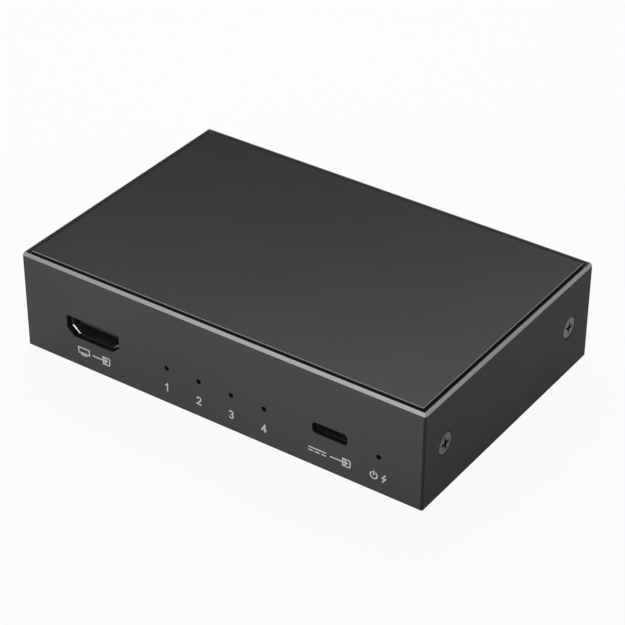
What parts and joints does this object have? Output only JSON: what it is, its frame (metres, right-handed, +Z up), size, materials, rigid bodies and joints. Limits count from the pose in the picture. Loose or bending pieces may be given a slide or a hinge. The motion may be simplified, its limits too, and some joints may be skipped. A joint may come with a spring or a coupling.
{
  "type": "video splitter",
  "caption": "Flat metal-cased video splitter box with a video input, power slot and status lights on the front, video outputs on the back and a screwed drop-in cover.",
  "frame": {"origin": "on the ground under the middle of the case, in the plane of the feet", "axes": "+X to the right seen from the front, -Y out of the front face, +Z up"},
  "size_m": [0.11, 0.0716, 0.0266],
  "materials": {
    "case_metal": "satin",
    "cover_metal": "satin",
    "screw_steel": "satin",
    "plated_steel": "satin",
    "foot_rubber": "matte",
    "board_laminate": "satin",
    "socket_shell": "satin",
    "socket_plastic": "satin",
    "contact_gold": "gloss",
    "light_lens": "gloss",
    "chip_plastic": "matte",
    "pad_rubber": "matte",
    "sink_metal": "satin",
    "capacitor_ceramic": "satin",
    "coil_ferrite": "matte",
    "can_metal": "satin",
    "resistor_ceramic": "satin"
  },
  "bodies": {
    "root": {"case_body": "case_metal", "top_cover": "cover_metal", "cover_screws": "screw_steel", "clinch_nuts": "plated_steel", "rubber_feet": "foot_rubber", "circuit_board": "board_laminate", "board_standoffs": "plated_steel", "board_screws": "plated_steel", "input_shell": "socket_shell", "input_insulator": "socket_plastic", "input_contacts": "contact_gold", "output_1_shell": "socket_shell", "output_1_insulator": "socket_plastic", "output_1_contacts": "contact_gold", "output_2_shell": "socket_shell", "output_2_insulator": "socket_plastic", "output_2_contacts": "contact_gold", "output_3_shell": "socket_shell", "output_3_insulator": "socket_plastic", "output_3_contacts": "contact_gold", "output_4_shell": "socket_shell", "output_4_insulator": "socket_plastic", "output_4_contacts": "contact_gold", "power_inlet_shell": "socket_shell", "power_inlet_insulator": "socket_plastic", "power_inlet_contacts": "contact_gold", "status_light_1": "light_lens", "status_light_2": "light_lens", "status_light_3": "light_lens", "status_light_4": "light_lens", "power_light": "light_lens", "light_leads": "plated_steel", "splitter_chip": "chip_plastic", "thermal_pad": "pad_rubber", "heat_sink": "sink_metal", "control_chip": "chip_plastic", "clock_crystal": "plated_steel", "protection_chips": "chip_plastic", "bypass_capacitors": "capacitor_ceramic", "voltage_regulators": "chip_plastic", "power_coils": "coil_ferrite", "power_capacitors": "can_metal", "light_resistors": "resistor_ceramic"}
  },
  "joints": []
}
